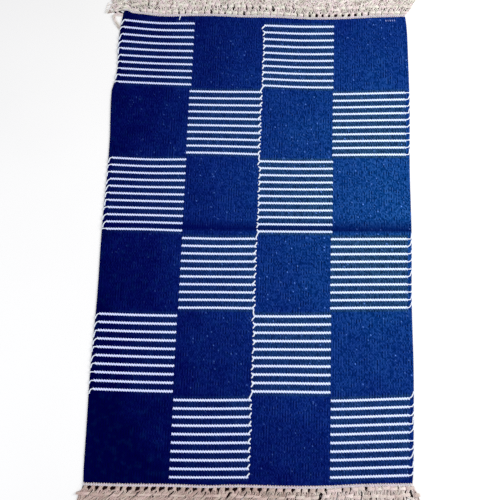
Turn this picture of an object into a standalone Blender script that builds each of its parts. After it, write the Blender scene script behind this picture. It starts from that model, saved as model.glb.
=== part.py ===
"""A flat-woven cotton dhurrie rug, 3 by 5 feet with its knotted fringes.

The cloth is one flat slab with the outline it lies in, slightly out of square. At each
end a comb of knotted strands stands on a narrow heading strip just off the cloth's edge.
Units are metres, +Y runs along the warp, +Z is up, and the rug lies on z = 0 with its
bounding box centred on the Z axis.
"""

import math

import bmesh
import bpy
import numpy as np

MM = 0.001

# The cloth: four block columns across, six block rows along.
BLOCK_WIDTH = 221.0 * MM
COLUMNS = 4
SIDE_MARGIN = 0.072 * BLOCK_WIDTH      # the outer columns are this much wider
WEFT_RISE = 7.3 * MM                   # each weft line climbs this much per block, left to right
CLOTH_THICKNESS = 4.0 * MM
RIM_CHAMFER = 1.2 * MM
CLOTH_CELLS_ACROSS = 36
CORNER_LINES = (1.1, 1.25)             # more weft lines where the upper corners are drawn in

# Where the weft lines lie, in mm above the middle of the lower edge, before WEFT_RISE.
STATIONS = (0.0, 0.5, 1.0, 2.0, 3.0, 4.0)     # in block widths from the left block's edge
WEFT_LINES = (
    # name,          then the height at each station
    ("upper edge",   1411.5, 1397.0, 1393.5, 1392.0, 1386.5, 1393.5),
    ("row 1 starts", 1395.0, 1384.5, 1384.0, 1376.0, 1372.5, 1377.5),
    ("row 2 starts", 1164.5, 1159.5, 1156.0, 1151.5, 1145.5, 1149.5),
    ("row 3 starts", 941.5, 936.5, 936.0, 931.0, 928.0, 929.0),
    ("row 4 starts", 700.5, 698.5, 696.5, 693.5, 692.0, 692.5),
    ("row 5 starts", 474.0, 471.0, 470.5, 468.5, 468.0, 469.5),
    ("row 6 starts", 241.5, 238.5, 237.5, 236.5, 234.0, 239.0),
    ("row 6 ends",   11.5, 10.0, 9.0, 8.5, 7.0, 12.0),
    ("lower edge",   4.0, 2.5, 1.5, 0.0, -2.0, 1.5),
)

# How far each corner is drawn in towards the middle, and how quickly that fades.
CORNER_PULL = {"upper left": 21.0 * MM, "upper right": 9.0 * MM,
               "lower left": 5.0 * MM, "lower right": 7.0 * MM}
PULL_ALONG = 45.0 * MM
PULL_ACROSS = 0.6                      # in block widths
SELVEDGE_SWAY = 1.2 * MM
SELVEDGE_WAVES = 3.5                   # over the rug's length

# The soft ridge left by folding the rug in half.
FOLD_HEIGHT = 1.6 * MM
FOLD_HALF_WIDTH = 12.0 * MM
FOLD_STEPS = (-1.0, -0.5, 0.0, 0.5, 1.0)

# The fringe: knotted bunches of three strands on a heading strip.
EDGE_GAP = 0.3 * MM
HEADING_WIDTH = 5.0 * MM
HEADING_HEIGHT = 3.2 * MM
BUNCHES = 44
STRANDS_PER_BUNCH = 3
STRAND_SECTIONS = (
    # along the strand, spread of the bunch, width, height; in mm
    {"along": 10.0, "spread": 3.7, "width": 3.1, "height": 5.6},     # in the knot
    {"along": 18.0, "spread": 5.0, "width": 4.1, "height": 3.2},     # just past it
    {"along": 40.0, "spread": 6.9, "width": 4.3, "height": 2.8},
    {"along": 61.0, "spread": 6.9, "width": 2.4, "height": 2.0},     # the cut end
)
LENGTH_SPREAD = 0.06                   # strands end this much longer or shorter
ROUTE_STEP = 1.0 * MM
NUDGE = 0.01                           # in block widths, to take a direction along an edge
TURN_STARTS = 14.0 * MM                # a strand runs straight until it is past the knot

# The way the strands lean, in degrees, positive to the right seen from above.
LEAN_UPPER = {"swing": 11.0, "waves": 1.3, "phase": 0.4, "middle": 2.0}
LEAN_LOWER = {"swing": 11.0, "waves": 0.7, "phase": -1.6, "middle": -20.0}
CORNER_FAN = {"upper left": -190.0, "upper right": 34.0, "lower left": -44.0, "lower right": 16.0}
FAN_FADE = 13.0 * MM                   # how quickly a corner's fan dies out along the edge
CURL_FROM = 60.0                       # a strand that turns further has a section between each two
MOST_CLOSED = 0.8                      # leaning strands lie closer, down to this share


def along_stations(heights, across):
    """A smooth curve through the heights at the stations."""
    x = np.array(STATIONS)
    y = np.array(heights)
    slope = np.gradient(y, x)
    across = float(across)
    if across <= x[0]:
        return y[0] + slope[0] * (across - x[0])
    if across >= x[-1]:
        return y[-1] + slope[-1] * (across - x[-1])
    i = int(np.searchsorted(x, across)) - 1
    span = x[i + 1] - x[i]
    t = (across - x[i]) / span
    start = (1 + 2 * t) * (1 - t) ** 2 * y[i] + t * (1 - t) ** 2 * span * slope[i]
    end = t * t * (3 - 2 * t) * y[i + 1] + t * t * (t - 1) * span * slope[i + 1]
    return start + end


def weft_height(line, across):
    """Height of a weft line, which may lie between two of the named ones."""
    upper = min(int(line), len(WEFT_LINES) - 2)
    part = line - upper
    above = along_stations(WEFT_LINES[upper][1:], across)
    below = along_stations(WEFT_LINES[upper + 1][1:], across)
    return (above + (below - above) * part) * MM


UPPER_LINE = 0
LOWER_LINE = len(WEFT_LINES) - 1
LEFT = -SIDE_MARGIN / BLOCK_WIDTH
RIGHT = COLUMNS + SIDE_MARGIN / BLOCK_WIDTH


def cloth_point(across, line):
    """Plan position of a point of the cloth, from its warp (in blocks) and its weft line."""
    y = weft_height(line, across)
    top = weft_height(UPPER_LINE, across)
    bottom = weft_height(LOWER_LINE, across)
    x = across * BLOCK_WIDTH
    near_left = max(0.0, 1 - (across - LEFT) / PULL_ACROSS) ** 2
    near_right = max(0.0, 1 - (RIGHT - across) / PULL_ACROSS) ** 2
    near_top = math.exp(-(top - y) / PULL_ALONG)
    near_bottom = math.exp(-(y - bottom) / PULL_ALONG)
    x += near_left * (CORNER_PULL["upper left"] * near_top + CORNER_PULL["lower left"] * near_bottom)
    x -= near_right * (CORNER_PULL["upper right"] * near_top + CORNER_PULL["lower right"] * near_bottom)
    sway = SELVEDGE_SWAY * math.sin(2 * math.pi * SELVEDGE_WAVES * (y - bottom) / (top - bottom))
    x += sway * (near_left - near_right)
    return x, y + across * WEFT_RISE


def fold_height(y, middle):
    """Height of the soft fold ridge at a distance from its line."""
    reach = abs(y - middle) / FOLD_HALF_WIDTH
    return FOLD_HEIGHT * 0.5 * (1 + math.cos(math.pi * min(reach, 1.0)))


def cloth_material(name, colour, roughness):
    """A plain finish for one kind of yarn."""
    material = bpy.data.materials.new(name)
    material.use_nodes = True
    shader = material.node_tree.nodes["Principled BSDF"]
    shader.inputs["Base Color"].default_value = (*colour, 1.0)
    shader.inputs["Roughness"].default_value = roughness
    shader.inputs["Metallic"].default_value = 0.0
    return material


def add_part(name, bm, material, collection):
    """Close a bmesh off as a named object."""
    bmesh.ops.recalc_face_normals(bm, faces=bm.faces[:])
    mesh = bpy.data.meshes.new(name)
    bm.to_mesh(mesh)
    bm.free()
    mesh.materials.append(material)
    part = bpy.data.objects.new(name, mesh)
    collection.objects.link(part)
    return part


def raised(bm, height_at):
    """Thicken a flat sheet upwards, and give back the new upper vertices."""
    lifted = bmesh.ops.extrude_face_region(bm, geom=bm.faces[:])["geom"]
    upper = [v for v in lifted if isinstance(v, bmesh.types.BMVert)]
    for v in upper:
        v.co.z = height_at(v)
    return upper


def cloth_lines():
    """The weft lines that the slab has vertices on: the named ones, their middles and the fold."""
    lines = [i * 0.5 for i in range(2 * LOWER_LINE + 1)] + list(CORNER_LINES)
    middle = (cloth_point(COLUMNS / 2, UPPER_LINE)[1] + cloth_point(COLUMNS / 2, LOWER_LINE)[1]) / 2
    ahead = [i for i in range(LOWER_LINE) if cloth_point(COLUMNS / 2, i)[1] > middle][-1]
    above = cloth_point(COLUMNS / 2, ahead)[1]
    row = above - cloth_point(COLUMNS / 2, ahead + 1)[1]
    fold_line = ahead + (above - middle) / row
    folds = [fold_line + step * FOLD_HALF_WIDTH / row for step in FOLD_STEPS]
    lines = [i for i in lines if all(abs(i - f) > 0.02 for f in folds)] + folds
    return sorted(set(lines)), fold_line


def build_cloth(material, collection):
    """The woven rug: a slab with its own outline, a chamfered rim and the fold ridge."""
    lines, fold_line = cloth_lines()
    bm = bmesh.new()
    bmesh.ops.create_grid(bm, x_segments=CLOTH_CELLS_ACROSS, y_segments=len(lines) - 1, size=1.0)
    warps = bm.verts.layers.float.new("warp")
    for v in bm.verts:
        across = LEFT + (RIGHT - LEFT) * (v.co.x + 1) / 2
        line = lines[round((1 - v.co.y) / 2 * (len(lines) - 1))]
        v[warps] = across
        v.co.x, v.co.y = cloth_point(across, line)
        v.co.z = 0.0

    def top_at(v):
        middle = cloth_point(v[warps], fold_line)[1]
        return CLOTH_THICKNESS + fold_height(v.co.y, middle)

    upper = set(raised(bm, top_at))
    bmesh.ops.recalc_face_normals(bm, faces=bm.faces[:])
    rim = [e for e in bm.edges if len(e.link_faces) == 2
           and all(v in upper for v in e.verts)
           and sum(all(v in upper for v in f.verts) for f in e.link_faces) == 1]
    bmesh.ops.bevel(bm, geom=rim, offset=RIM_CHAMFER, offset_type="OFFSET", segments=1,
                    affect="EDGES", clamp_overlap=True)
    bmesh.ops.dissolve_limit(bm, angle_limit=math.radians(0.05), verts=bm.verts[:], edges=bm.edges[:])
    return add_part("rug_body", bm, material, collection)


def lean_at(across, lean, left_fan, right_fan):
    """Lean of the strand that starts at this warp, in radians."""
    share = (across - LEFT) / (RIGHT - LEFT)
    angle = lean["middle"] + lean["swing"] * math.sin(2 * math.pi * lean["waves"] * share + lean["phase"])
    from_left = math.exp(-(across - LEFT) * BLOCK_WIDTH / FAN_FADE)
    from_right = math.exp(-(RIGHT - across) * BLOCK_WIDTH / FAN_FADE)
    angle = angle * (1 - from_left) * (1 - from_right) + left_fan * from_left + right_fan * from_right
    return math.radians(angle)


def edge_frame(across, line, outward):
    """A point of the cloth's end, the ways along and out of it, and how far the warps are drawn in."""
    here = np.array(cloth_point(across, line))
    before = np.array(cloth_point(across - NUDGE, line))
    after = np.array(cloth_point(across + NUDGE, line))
    pace = np.linalg.norm(after - before)
    along = (after - before) / pace
    out = np.array((-along[1], along[0])) * outward
    return here, along, out, pace / (2 * NUDGE * BLOCK_WIDTH)


def strand_route(start, along, out, lean, length):
    """Fine points of a strand that leaves the heading straight and then leans over."""
    points = [np.array(start)]
    ways = [out]
    steps = max(8, round(length / ROUTE_STEP))
    step = length / steps
    for i in range(steps):
        reach = max(0.0, ((i + 0.5) * step - TURN_STARTS) / (length - TURN_STARTS))
        early = min(1.0, (i + 0.5) * step / TURN_STARTS)
        turn = lean * (0.35 * early + 0.65 * math.sin(0.5 * math.pi * min(1.0, reach * 1.2)))
        way = out * math.cos(turn) + along * math.sin(turn)
        points.append(points[-1] + way * step)
        ways.append(way)
    return np.array(points), np.array(ways), step


def section_rows(lean):
    """The sections of a strand, with halfway ones on a strand that curls."""
    rows = list(STRAND_SECTIONS)
    if abs(lean) < math.radians(CURL_FROM):
        return rows
    halfway = [{key: (a[key] + b[key]) / 2 for key in a} for a, b in zip(rows, rows[1:])]
    return sorted(rows + halfway, key=lambda row: row["along"])


def strand_sections(index, line, outward, lean, fans, lengths):
    """Left and right plan points and the height of each section of one strand."""
    count = BUNCHES * STRANDS_PER_BUNCH
    across = LEFT + (RIGHT - LEFT) * (index + 0.5) / count
    place = index % STRANDS_PER_BUNCH - (STRANDS_PER_BUNCH - 1) / 2
    bunch = LEFT + (RIGHT - LEFT) * (index // STRANDS_PER_BUNCH + 0.5) / BUNCHES
    edge, along, out, drawn_in = edge_frame(bunch, line, outward)
    start = edge + out * (EDGE_GAP + HEADING_WIDTH)
    stretch = lengths[index]
    length = STRAND_SECTIONS[-1]["along"] * MM * stretch
    angle = lean_at(across, lean, *fans)
    points, ways, step = strand_route(start, along, out, angle, length)
    sections = []
    for section in section_rows(angle):
        i = min(len(points) - 1, round(section["along"] * MM * stretch / step))
        side = np.array((ways[i][1], -ways[i][0])) * outward
        room = drawn_in * max(math.cos(angle), MOST_CLOSED) * MM
        centre = points[i] + side * place * section["spread"] * room
        half = side * section["width"] * room / 2
        height = section["height"] * MM
        sections.append((centre - half, centre + half, height))
    return sections


def build_fringe(name, line, outward, lean, fans, seed, material, collection):
    """A heading strip along one end of the cloth, with its knotted strands."""
    count = BUNCHES * STRANDS_PER_BUNCH
    lengths = 1 + LENGTH_SPREAD * np.random.default_rng(seed).uniform(-1, 1, count)
    bm = bmesh.new()
    bmesh.ops.create_grid(bm, x_segments=count, y_segments=1, size=1.0)
    station = bm.verts.layers.int.new("station")
    outer = bm.verts.layers.int.new("outer")
    over = bm.verts.layers.int.new("over")
    for v in bm.verts:
        v[station] = round((v.co.x + 1) / 2 * count)
        v[outer] = int(v.co.y > 0)
        v[over] = 0
        across = LEFT + (RIGHT - LEFT) * v[station] / count
        edge, along, out, drawn_in = edge_frame(across, line, outward)
        x, y = edge + out * (EDGE_GAP + HEADING_WIDTH * v[outer])
        v.co = (x, y, 0.0)
    for v in raised(bm, lambda v: HEADING_HEIGHT):
        v[over] = 1
    roots = [f for f in bm.faces if all(v[outer] for v in f.verts)]
    for root in roots:
        index = min(v[station] for v in root.verts)
        face = root
        for left, right, height in strand_sections(index, line, outward, lean, fans, lengths):
            face = bmesh.ops.extrude_discrete_faces(bm, faces=[face])["faces"][0]
            for v in face.verts:
                x, y = left if v[station] == index else right
                v.co = (x, y, height if v[over] else 0.0)
    return add_part(name, bm, material, collection)


def centre_on_origin(parts):
    """Move all parts so that the whole rug's bounding box is centred on the Z axis."""
    corners = np.array([v.co[:] for part in parts for v in part.data.vertices])
    middle = (corners.min(axis=0) + corners.max(axis=0)) / 2
    for part in parts:
        for v in part.data.vertices:
            v.co.x -= middle[0]
            v.co.y -= middle[1]
        part.data.update()


for leftover in list(bpy.data.objects):
    bpy.data.objects.remove(leftover, do_unlink=True)

rug = bpy.data.collections.new("dhurrie_rug")
bpy.context.scene.collection.children.link(rug)

navy = cloth_material("navy cotton weft", (0.004, 0.016, 0.130), 0.92)
cream = cloth_material("cream cotton warp", (0.66, 0.60, 0.53), 0.95)

body = build_cloth(navy, rug)
upper_fringe = build_fringe("fringe_upper_end", UPPER_LINE, 1, LEAN_UPPER,
                            (CORNER_FAN["upper left"], CORNER_FAN["upper right"]), 11, cream, rug)
lower_fringe = build_fringe("fringe_lower_end", LOWER_LINE, -1, LEAN_LOWER,
                            (CORNER_FAN["lower left"], CORNER_FAN["lower right"]), 12, cream, rug)
centre_on_origin([body, upper_fringe, lower_fringe])
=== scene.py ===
import math
import bpy
import numpy as np
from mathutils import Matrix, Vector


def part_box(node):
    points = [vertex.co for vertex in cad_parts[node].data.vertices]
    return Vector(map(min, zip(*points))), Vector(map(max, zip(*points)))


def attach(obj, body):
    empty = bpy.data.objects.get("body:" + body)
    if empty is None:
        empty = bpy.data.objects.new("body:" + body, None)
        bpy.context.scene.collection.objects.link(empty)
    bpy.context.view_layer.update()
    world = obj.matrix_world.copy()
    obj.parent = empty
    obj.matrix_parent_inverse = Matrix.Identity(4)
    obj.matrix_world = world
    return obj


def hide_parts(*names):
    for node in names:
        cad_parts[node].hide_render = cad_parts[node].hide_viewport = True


# Looks of a flat-woven cotton rug: navy checker of plain and striped blocks, cream knotted fringe.
# Lengths in metres. Places on the cloth are weave places: (warp number, pick number),
# warp 0 at the left block's left edge, pick 0 at the lower end. Picks run across, warps along.

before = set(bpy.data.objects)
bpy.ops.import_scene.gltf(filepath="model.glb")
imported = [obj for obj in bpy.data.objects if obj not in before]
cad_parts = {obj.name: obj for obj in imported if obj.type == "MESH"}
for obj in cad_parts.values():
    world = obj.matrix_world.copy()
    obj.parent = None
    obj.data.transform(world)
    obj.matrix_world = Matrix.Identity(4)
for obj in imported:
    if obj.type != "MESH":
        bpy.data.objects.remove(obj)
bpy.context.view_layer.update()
mm = 0.001


def mathsNode(operation, swapped=False):
    # a method that adds one maths node; a reflected operator has its two values swapped
    def work(self, *others):
        values = (self, *others)
        return self.maths(operation, values[::-1] if swapped else values)
    return work


class Wire:
    # one output of a node, so that shader maths can be written as plain expressions
    __add__, __radd__ = mathsNode("ADD"), mathsNode("ADD", True)
    __sub__, __rsub__ = mathsNode("SUBTRACT"), mathsNode("SUBTRACT", True)
    __mul__, __rmul__ = mathsNode("MULTIPLY"), mathsNode("MULTIPLY", True)
    __truediv__, __rtruediv__ = mathsNode("DIVIDE"), mathsNode("DIVIDE", True)
    __pow__, __mod__ = mathsNode("POWER"), mathsNode("FLOORED_MODULO")
    __gt__, __lt__ = mathsNode("GREATER_THAN"), mathsNode("LESS_THAN")
    atLeast, atMost = mathsNode("MAXIMUM"), mathsNode("MINIMUM")
    floor, size, wave = mathsNode("FLOOR"), mathsNode("ABSOLUTE"), mathsNode("SINE")

    def __init__(self, finish, socket):
        self.finish = finish
        self.socket = socket

    def maths(self, operation, values):
        kind = "VectorMath" if self.socket.type in {"VECTOR", "RGBA"} else "Math"
        return self.finish.node(kind, {"operation": operation}, dict(enumerate(values)))


class Finish:
    # a material, with one method that adds any node to it
    def __init__(self, name, roughness, gloss=0.03):
        self.material = bpy.data.materials.new(name)
        self.material.use_nodes = True
        self.tree = self.material.node_tree
        self.tree.nodes.clear()
        self.shader = self.tree.nodes.new("ShaderNodeBsdfPrincipled")
        self.shader.inputs["Roughness"].default_value = roughness
        self.shader.inputs["Specular IOR Level"].default_value = gloss
        output = self.tree.nodes.new("ShaderNodeOutputMaterial")
        self.tree.links.new(self.shader.outputs[0], output.inputs[0])

    def node(self, kind, settings, values, output=0):
        added = self.tree.nodes.new("ShaderNode" + kind)
        for name, value in settings.items():
            if name == "stops":
                for i, (place, colour) in enumerate(value):
                    stop = added.color_ramp.elements[i] if i < 2 else added.color_ramp.elements.new(place)
                    stop.position, stop.color = place, colour
            else:
                setattr(added, name, value)
        shown = [s for s in added.inputs if s.enabled]
        for key, value in values.items():
            place = shown[key] if isinstance(key, int) else next(s for s in shown if s.name == key)
            if isinstance(value, Wire):
                self.tree.links.new(value.socket, place)
            else:
                place.default_value = value
        return Wire(self, [s for s in added.outputs if s.enabled][output])

    def blend(self, share, first, second):
        return self.node("Mix", {"data_type": "RGBA"}, {0: share, 1: first, 2: second})

    def both(self, first, second):
        return self.node("CombineXYZ", {}, {0: first, 1: second})

    def uv(self, name):
        place = self.node("UVMap", {"uv_map": name}, {})
        return tuple(self.node("SeparateXYZ", {}, {0: place}, output) for output in (0, 1))

    def objectPlace(self):
        return self.node("TexCoord", {}, {}, 3)

    def chance(self, first, second, seed=0):
        # a fixed random number from 0 to 1 for each pair of whole numbers
        return self.node("TexWhiteNoise", {"noise_dimensions": "2D"}, {0: self.both(first + seed, second)})

    def cloudy(self, place, scale, detail=2.0):
        return self.node("TexNoise", {}, {"Vector": place, "Scale": scale, "Detail": detail})

    def feed(self, name, wire):
        self.tree.links.new(wire.socket, self.shader.inputs[name])

    def bumps(self, height, distance):
        self.feed("Normal", self.node("Bump", {}, {"Height": height, "Distance": distance}))


# the weave's layout
weave = {
    "blockWidth": 221 * mm,
    "warpsPerBlock": 60,
    "blocksAcross": 4,
    "sideMargin": 0.072,  # blocks, past the outer ones
    "rise": 7.3 * mm,  # of a pick, per block
    "stations": (0.0, 0.5, 1.0, 2.0, 3.0, 4.0),  # blocks from the left block's left edge
    "lines": (  # pick number, then its height in mm at each station
        (0, 4.0, 2.5, 1.5, 0.0, -2.0, 1.5),  # lower edge
        (4, 11.5, 10.0, 9.0, 8.5, 7.0, 12.0),  # lowest row of blocks starts
        (104, 241.5, 238.5, 237.5, 236.5, 234.0, 239.0),
        (204, 474.0, 471.0, 470.5, 468.5, 468.0, 469.5),
        (304, 700.5, 698.5, 696.5, 693.5, 692.0, 692.5),
        (414, 941.5, 936.5, 936.0, 931.0, 928.0, 929.0),
        (514, 1164.5, 1159.5, 1156.0, 1151.5, 1145.5, 1149.5),
        (614, 1395.0, 1384.5, 1384.0, 1376.0, 1372.5, 1377.5),  # highest row ends
        (620, 1411.5, 1397.0, 1393.5, 1392.0, 1386.5, 1393.5),  # upper edge
    ),
    "bows": (  # how the picks bow: pick number, then mm upward at each half block
        (0, 0, 0, 0, 0, 0, 0, 0, 0, 0),
        (14, 0, -0.8, -2.5, -3.4, -2.5, -1.8, -1.0, -0.2, -0.3),
        (104, -0.3, -1.2, -3.0, -3.5, -2.1, -1.4, -2.2, -1.5, -0.7),
        (154, 0.3, -0.8, -2.6, -2.2, -2.0, -1.3, -1.2, -0.8, -0.4),
        (204, 0.4, -0.3, -1.7, -0.9, -1.4, -1.6, -0.6, 0, -0.3),
        (304, 0.3, 0.8, -1.3, -2.3, -0.7, -0.5, -0.7, -0.5, -0.5),
        (414, -0.6, -1.2, -0.5, -0.2, -1.3, -1.8, -0.4, 0.4, -0.3),
        (514, -0.4, -0.6, -1.3, -1.2, 0.2, -1.6, -0.8, -0.1, 0.2),
        (564, -4.6, -3.6, -4.4, -3.2, -3.2, -5.3, -3.4, -1.0, 0),
        (600, -1.4, -1.7, -2.6, -2.0, -1.2, -3.6, -2.0, -0.8, 0),
        (620, 0, 0, 0, 0, 0, 0, 0, 0, 0),
    ),
    "pullAlong": 45 * mm,  # how far from an end a corner is drawn in
    "pullAcross": 0.6,  # blocks
    "pull": {"upperLeft": 21 * mm, "upperRight": 9 * mm, "lowerLeft": 5 * mm, "lowerRight": 7 * mm},
    "ear": 7 * mm,  # the upper left corner flicks out again
    "earReach": 22 * mm,
    # how the first and last pick wave: blocks, then mm upward
    "lowerWave": (
        (-0.072, 0), (0.4, -1.3), (1.1, -1.6), (1.5, -3.8), (1.85, -1.7), (2.4, -3.2), (2.9, -2.5),
        (3.4, 1.0), (4.072, 0),
    ),
    "upperWave": (
        (-0.072, 2.5), (-0.02, 5.2), (0.01, 4.2), (0.035, 0.6), (0.07, 0.0), (0.25, 0.9), (0.65, 1.3),
        (0.95, 4.5), (1.45, 4.2), (1.65, 1.6), (2.2, 1.0), (2.6, -1.0), (3.1, 0.4), (3.55, 2.8),
        (4.072, 1.2),
    ),
    # the turns of the white yarn draw the left selvedge in: picks, then mm inward
    "leftWave": (
        (440, 0), (492, -4.6), (506, -4.8), (514, -1.5), (521, 3.0), (540, 6.3), (550, 5.2), (566, 0.9),
        (608, -1.6), (620, 0),
    ),
    "leftWaveReach": 0.3,  # blocks
    "sway": 1.2 * mm,  # the selvedges wave by this much
    "swayWaves": 3.5,
    "outlineSteps": (200, 400),  # along an end and a selvedge
    "stripePitch": 10,  # picks
    "firstStripe": 9,  # its middle, in picks
    "stripesOver": 1,  # warps, past the outer blocks' edges
    # warps where stripes give way to plain cloth, for each row of blocks from the lowest
    "turns": (
        (60.8, 119.9, 180.9), (60.0, 120.4, 180.5), (60.5, 119.8, 179.7), (60.2, 120.7, 180.8),
        (59.8, 120.0, 180.25), (60.8, 120.75, 180.5),
    ),
}


def pickTable(name):
    # a table's pick numbers, and its heights in metres
    table = np.array(weave[name], float)
    return table[:, 0], table[:, 1:] * mm


linePicks, lineHeights = pickTable("lines")
bowPicks, bowHeights = pickTable("bows")
bowStations = np.arange(bowHeights.shape[1]) / 2
lastPick = linePicks[-1]
rowEnds = linePicks[1:-1].tolist()
blockWarps = weave["blocksAcross"] * weave["warpsPerBlock"]
leftWarp = -weave["sideMargin"] * weave["warpsPerBlock"]
rightWarp = blockWarps - leftWarp
clothWarps = rightWarp - leftWarp
warpPitch = weave["blockWidth"] / weave["warpsPerBlock"]
cutWidth = clothWarps * warpPitch


def smoothAlong(stations, values, at):
    # a smooth curve through the values, straight past both ends
    stations = np.asarray(stations, float)
    slopes = np.gradient(values, stations, axis=-1)
    held = np.clip(at, stations[0], stations[-1])
    k = np.clip(np.searchsorted(stations, held) - 1, 0, len(stations) - 2)
    gap = stations[k + 1] - stations[k]
    t = (held - stations[k]) / gap
    curve = ((1 + 2 * t) * (1 - t) ** 2 * values[..., k] + t * t * (3 - 2 * t) * values[..., k + 1]
             + gap * t * (1 - t) * ((1 - t) * slopes[..., k] - t * slopes[..., k + 1]))
    beyond = np.where(at < held, slopes[..., 0:1], slopes[..., -1:]) * (at - held)
    return curve + beyond


def betweenRows(rowPicks, rows, pick):
    # rows hold a value for each place at each of their picks
    line = np.interp(pick, rowPicks, np.arange(len(rowPicks)))
    below = np.minimum(line.astype(int), len(rowPicks) - 2)
    place = np.arange(pick.size)
    return rows[below, place] + (line - below) * (rows[below + 1, place] - rows[below, place])


def fadeOut(distance, reach):
    # from 1 at a selvedge to 0 at this reach from it
    return np.maximum(0, 1 - distance / reach) ** 2


def planOf(warp, pick, waves=1):
    # plan of weave places, before the rug is centred; with waves 0 it has no waves or bows
    warp, pick = np.broadcast_arrays(np.asarray(warp, float), np.asarray(pick, float))
    across, picks = warp.ravel() / weave["warpsPerBlock"], pick.ravel()
    heights = smoothAlong(weave["stations"], lineHeights, across)
    for row, name in ((0, "lowerWave"), (-1, "upperWave")):
        stations, lifts = np.array(weave[name]).T
        heights[row] += smoothAlong(stations, lifts * mm, across) * waves
    bows = smoothAlong(bowStations, bowHeights, across) * waves
    y = betweenRows(linePicks, heights, picks) + betweenRows(bowPicks, bows, picks)

    # the corners are drawn in, and the selvedges sway
    fromLeft = across + weave["sideMargin"]
    fromRight = weave["blocksAcross"] + weave["sideMargin"] - across
    fromTop, fromBottom = heights[-1] - y, y - heights[0]
    toTop, toBottom = (np.exp(-away / weave["pullAlong"]) for away in (fromTop, fromBottom))
    nearLeft, nearRight = (fadeOut(away, weave["pullAcross"]) for away in (fromLeft, fromRight))
    pull = weave["pull"]
    x = across * weave["blockWidth"]
    x = x + nearLeft * (pull["upperLeft"] * toTop + pull["lowerLeft"] * toBottom)
    x = x - nearRight * (pull["upperRight"] * toTop + pull["lowerRight"] * toBottom)
    swayPhase = 2 * math.pi * weave["swayWaves"] * fromBottom / (fromTop + fromBottom)
    x = x + weave["sway"] * np.sin(swayPhase) * (nearLeft - nearRight)
    inward = np.interp(picks, *np.array(weave["leftWave"]).T) * mm * waves
    x = x + fadeOut(fromLeft, weave["leftWaveReach"]) * inward
    x = x - weave["ear"] * nearLeft ** 2 * np.exp(-(fromTop / weave["earReach"]) ** 2)
    y = y + across * weave["rise"]
    return np.stack([x, y], axis=-1).reshape(warp.shape + (2,))


def centreShift():
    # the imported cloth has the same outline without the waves, so its box gives the shift
    alongEnd, alongSelvedge = weave["outlineSteps"]
    warps = np.linspace(leftWarp, rightWarp, alongEnd)
    picks = np.linspace(0, lastPick, alongSelvedge)
    sides = ((warps, 0), (warps, lastPick), (leftWarp, picks), (rightWarp, picks))
    rim = np.concatenate([planOf(warp, pick, 0) for warp, pick in sides])
    low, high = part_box("rug_body")
    packed = np.array([(low.x + high.x) / 2, (low.y + high.y) / 2])
    return packed - (rim.min(0) + rim.max(0)) / 2


shift = centreShift()
print("weave laid out, shift in mm", (shift / mm).round(2).tolist())


def clothPlace(warp, pick):
    return planOf(warp, pick) + shift


def makePiece(name, points, faces, finish, node, uvName, cornerUvs):
    mesh = bpy.data.meshes.new(name)
    mesh.from_pydata(points, [], faces)
    layer = mesh.uv_layers.new(name=uvName)
    layer.data.foreach_set("uv", np.asarray(cornerUvs, float).ravel())
    mesh.polygons.foreach_set("use_smooth", np.full(len(mesh.polygons), True))
    mesh.materials.append(finish.material)
    piece = bpy.data.objects.new(name, mesh)
    bpy.context.scene.collection.objects.link(piece)
    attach(piece, "root")
    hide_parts(node)
    return piece


# camera, floor and light
view = {
    "footWarp": 121.74,  # the camera stands over this weave place
    "footFromLowerEdge": 517.0 * mm,
    "height": 1.1716,
    "tilt": 7.113,  # degrees from straight down
    "turn": 1.894,
    "lens": 28.8,
    "sensor": 36,
    "shiftX": -0.013,
    "nearest": 0.01,
}


def placeCamera():
    data = bpy.data.cameras.new("view")
    data.lens = view["lens"]
    data.sensor_width = view["sensor"]
    data.shift_x = view["shiftX"]
    data.clip_start = view["nearest"]
    camera = bpy.data.objects.new("view", data)
    foot = np.array([view["footWarp"] * warpPitch, view["footFromLowerEdge"]]) + shift
    camera.location = (*foot, view["height"])
    camera.rotation_euler = (math.radians(view["tilt"]), 0, math.radians(view["turn"]))
    bpy.context.scene.collection.objects.link(camera)
    bpy.context.scene.camera = camera


studio = {
    "sky": 0.55,
    "floor": ((0.86, 0.86, 0.86, 1), (0.9, 0.9, 0.9, 1)),  # from patch to patch
    "floorPatches": 3.0,
    "floorRoughness": 0.9,
    "floorWidth": 14,
    # name: place, aimed at, size, watts, colour
    "lamps": {
        "key": ((2.1, 0.5, 1.5), (0.1, 0.05, 0), 1.4, 62, (1.0, 0.985, 0.96)),
        "fill": ((-1.8, -0.9, 1.9), (0, 0, 0), 1.8, 26, (0.93, 0.95, 1.0)),
    },
}


def lightStudio():
    world = bpy.data.worlds.new("studio")
    world.use_nodes = True
    sky = world.node_tree.nodes["Background"]
    sky.inputs[0].default_value = (1, 1, 1, 1)
    sky.inputs[1].default_value = studio["sky"]
    bpy.context.scene.world = world
    for name, (place, aim, size, watts, colour) in studio["lamps"].items():
        data = bpy.data.lights.new(name, "AREA")
        data.shape = "SQUARE"
        data.size = size
        data.energy = watts
        data.color = colour
        lamp = bpy.data.objects.new(name, data)
        lamp.location = place
        way = np.array(aim) - np.array(place)
        level = math.hypot(way[0], way[1])
        lamp.rotation_euler = (math.atan2(level, -way[2]), 0, math.atan2(-way[0], way[1]))
        bpy.context.scene.collection.objects.link(lamp)
    finish = Finish("paleFloor", studio["floorRoughness"])
    tone = finish.cloudy(finish.objectPlace(), studio["floorPatches"])
    finish.feed("Base Color", finish.blend(tone, *studio["floor"]))
    bpy.ops.mesh.primitive_grid_add(x_subdivisions=8, y_subdivisions=8, size=studio["floorWidth"])
    floor = bpy.context.object
    floor.name = "floor"
    floor.data.materials.append(finish.material)
    bpy.context.scene.view_settings.view_transform = "Standard"
    bpy.context.scene.cycles.use_denoising = False  # it would wipe out the weave


placeCamera()
lightStudio()
print("camera and studio ready")


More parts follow.
